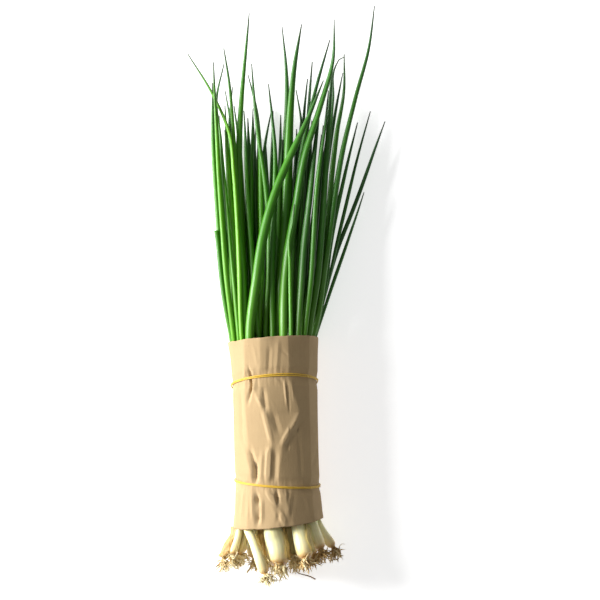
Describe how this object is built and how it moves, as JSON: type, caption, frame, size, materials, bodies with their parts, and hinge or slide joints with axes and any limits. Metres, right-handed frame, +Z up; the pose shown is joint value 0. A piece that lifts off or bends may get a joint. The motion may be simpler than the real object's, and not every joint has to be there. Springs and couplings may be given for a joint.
{
  "type": "bunch of scallions",
  "caption": "Bunch of scallions with green leaves, white bulbs and roots, wrapped in a kraft paper sleeve held by elastic bands, lying on its side.",
  "frame": {"origin": "middle of the paper sleeve's flattened underside, on the surface that the bunch lies on", "axes": "+Y along the bunch towards the leaf tips, +Z up from the surface, +X to the right when the leaf tips point away from the viewer"},
  "size_m": [0.1395, 0.4077, 0.0517],
  "materials": {
    "leaf": "satin",
    "shank": "satin",
    "root": "matte",
    "paper": "matte",
    "band": "satin"
  },
  "bodies": {
    "root": {"paper_sleeve": "paper", "rubber_band_upper": "band", "rubber_band_lower": "band", "scallion_01_shank": "shank", "scallion_01_leaves": "leaf", "scallion_01_roots": "root", "scallion_02_shank": "shank", "scallion_02_leaves": "leaf", "scallion_02_roots": "root", "scallion_03_shank": "shank", "scallion_03_leaves": "leaf", "scallion_03_roots": "root", "scallion_04_shank": "shank", "scallion_04_leaves": "leaf", "scallion_04_roots": "root", "scallion_05_shank": "shank", "scallion_05_leaves": "leaf", "scallion_05_roots": "root", "scallion_06_shank": "shank", "scallion_06_leaves": "leaf", "scallion_06_roots": "root", "scallion_07_shank": "shank", "scallion_07_leaves": "leaf", "scallion_07_roots": "root", "scallion_08_shank": "shank", "scallion_08_leaves": "leaf", "scallion_08_roots": "root", "scallion_09_shank": "shank", "scallion_09_leaves": "leaf", "scallion_09_roots": "root", "scallion_10_shank": "shank", "scallion_10_leaves": "leaf", "scallion_10_roots": "root", "scallion_11_shank": "shank", "scallion_11_leaves": "leaf", "scallion_11_roots": "root", "scallion_12_shank": "shank", "scallion_12_leaves": "leaf", "scallion_12_roots": "root", "scallion_13_shank": "shank", "scallion_13_leaves": "leaf", "scallion_13_roots": "root", "scallion_14_shank": "shank", "scallion_14_leaves": "leaf", "scallion_14_roots": "root", "scallion_15_shank": "shank", "scallion_15_leaves": "leaf", "scallion_15_roots": "root", "scallion_16_shank": "shank", "scallion_16_leaves": "leaf", "scallion_16_roots": "root", "scallion_17_shank": "shank", "scallion_17_leaves": "leaf", "scallion_17_roots": "root", "scallion_18_shank": "shank", "scallion_18_leaves": "leaf", "scallion_18_roots": "root"}
  },
  "joints": []
}
